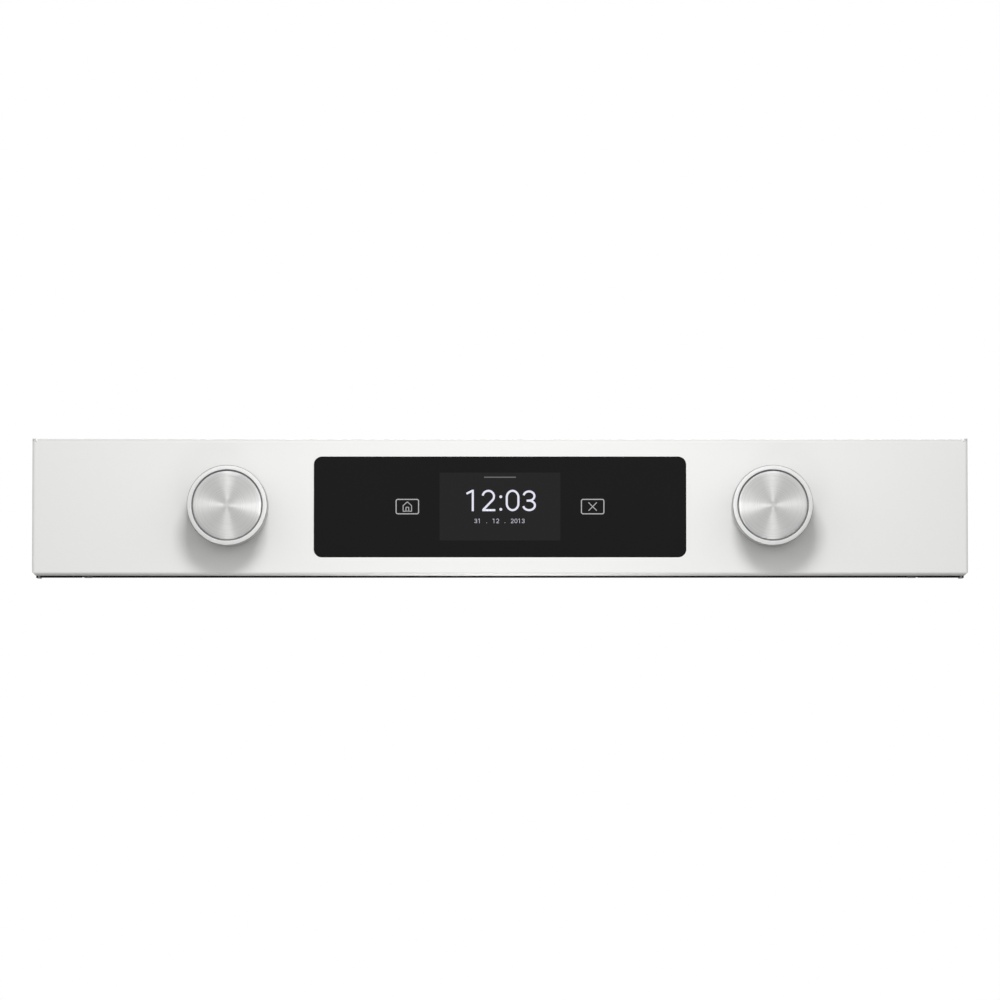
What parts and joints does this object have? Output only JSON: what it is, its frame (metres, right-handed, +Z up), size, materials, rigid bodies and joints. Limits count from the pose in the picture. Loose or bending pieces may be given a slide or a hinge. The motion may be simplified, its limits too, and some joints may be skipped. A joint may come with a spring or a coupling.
{
  "type": "wall oven control panel",
  "caption": "Built-in oven's control panel: folded white steel fascia with a flush black touch display, a push-and-turn knob each side, and the electronics and brackets behind.",
  "frame": {"origin": "centre of the four chassis screw holes, in the plane where the end brackets meet the oven's frame", "axes": "+X to the right and +Y to the back, both as seen by a person in front of the oven, +Z up; the fascia's front face looks along -Y at y = -24 mm"},
  "size_m": [0.595, 0.046, 0.0882],
  "materials": {
    "white_paint": "fine satin powder paint",
    "black_paint": "matt black paint",
    "zinc_sheet": "zinc-plated sheet",
    "copper_stud": null,
    "zinc_fastener": "bright zinc",
    "foam": "closed-cell foam",
    "black_glass": "polished, printed black behind",
    "tape": "double-sided tape",
    "black_plastic": "fine moulded grain",
    "lcd": "dark lit screen",
    "pressed_steel": "pressed tray",
    "polyimide": "amber flexible circuit",
    "copper_film": null,
    "light_plastic": "milky light guide",
    "circuit_board": "green solder resist",
    "chip_epoxy": "black moulding compound",
    "gold_contact": "gold-plated contacts",
    "tin_plate": "tin-plated can",
    "can_aluminium": "drawn can",
    "header_nylon": "natural nylon",
    "lead_pvc": "flat ribbon lead",
    "die_cast": "die-cast zinc, given as aluminium",
    "encoder_plastic": "glass-filled moulding",
    "brass_turned": "turned and plated",
    "spring_steel": "bright spring steel",
    "rotor_plastic": "acetal",
    "red_plastic": "moulded button",
    "shaft_steel": "turned steel",
    "satin_ring": "bead-blasted satin",
    "spun_cap": "spun concentric grain with a bright bevel"
  },
  "bodies": {
    "panel": {"fascia": "white_paint", "weld_studs": "copper_stud", "stud_nuts": "zinc_fastener", "end_bracket_left": "zinc_sheet", "end_bracket_right": "zinc_sheet", "side_seals": "foam", "air_guide": "black_paint", "air_guide_screws": "zinc_fastener", "window_gasket": "foam", "glass": "black_glass", "glass_tape": "tape", "display_carrier": "black_plastic", "lcd_cell": "lcd", "lcd_backlight": "pressed_steel", "lcd_flex": "polyimide", "key_electrodes": "copper_film", "key_light_guides": "light_plastic", "user_board": "circuit_board", "board_chips": "chip_epoxy", "edge_contacts": "gold_contact", "radio_module": "tin_plate", "buzzer": "black_plastic", "capacitors": "can_aluminium", "lead_headers": "header_nylon", "board_screws": "zinc_fastener", "encoder_bracket_left": "zinc_sheet", "encoder_bracket_right": "zinc_sheet", "encoder_body_left": "die_cast", "encoder_body_right": "die_cast", "encoder_base_left": "encoder_plastic", "encoder_base_right": "encoder_plastic", "bushing_nuts": "brass_turned", "encoder_board_left": "circuit_board", "encoder_board_right": "circuit_board", "board_spacers": "brass_turned", "lead_plugs": "header_nylon", "encoder_lead_left": "lead_pvc", "encoder_lead_right": "lead_pvc", "shaft_grommets": "black_plastic", "detent_spring_left": "spring_steel", "detent_spring_right": "spring_steel", "return_spring_left": "spring_steel", "return_spring_right": "spring_steel"},
    "knob_left": {"encoder_shaft_left": "shaft_steel", "knob_hub_left": "black_plastic", "knob_clip_left": "spring_steel", "knob_ring_left": "satin_ring", "knob_cap_left": "spun_cap"},
    "rotor_left": {"encoder_rotor_left": "rotor_plastic"},
    "button_left": {"plunger_left": "red_plastic"},
    "knob_right": {"encoder_shaft_right": "shaft_steel", "knob_hub_right": "black_plastic", "knob_clip_right": "spring_steel", "knob_ring_right": "satin_ring", "knob_cap_right": "spun_cap"},
    "rotor_right": {"encoder_rotor_right": "rotor_plastic"},
    "button_right": {"plunger_right": "red_plastic"}
  },
  "joints": [
    {"name": "turn_left", "type": "hinge", "parent": "panel", "child": "rotor_left", "pos_m": [-0.1725, -0.0103, 0], "axis": [0, 1, 0], "continuous": true},
    {"name": "push_left", "type": "slide", "parent": "rotor_left", "child": "knob_left", "axis": [0, 1, 0], "range_m": [0, 0.0012], "stiffness_N_per_m": 2000, "springref_m": -0.0012},
    {"name": "switch_left", "type": "slide", "parent": "panel", "child": "button_left", "axis": [0, 1, 0], "range_m": [0, 0.0013], "deforming": ["return_spring_left"]},
    {"name": "turn_right", "type": "hinge", "parent": "panel", "child": "rotor_right", "pos_m": [0.1725, -0.0103, 0], "axis": [0, 1, 0], "continuous": true},
    {"name": "push_right", "type": "slide", "parent": "rotor_right", "child": "knob_right", "axis": [0, 1, 0], "range_m": [0, 0.0012], "stiffness_N_per_m": 2000, "springref_m": -0.0012},
    {"name": "switch_right", "type": "slide", "parent": "panel", "child": "button_right", "axis": [0, 1, 0], "range_m": [0, 0.0013], "deforming": ["return_spring_right"]}
  ],
  "couplings": [
    {"joint": "switch_left", "follows": "push_left", "ratio": 1},
    {"joint": "switch_right", "follows": "push_right", "ratio": 1}
  ]
}
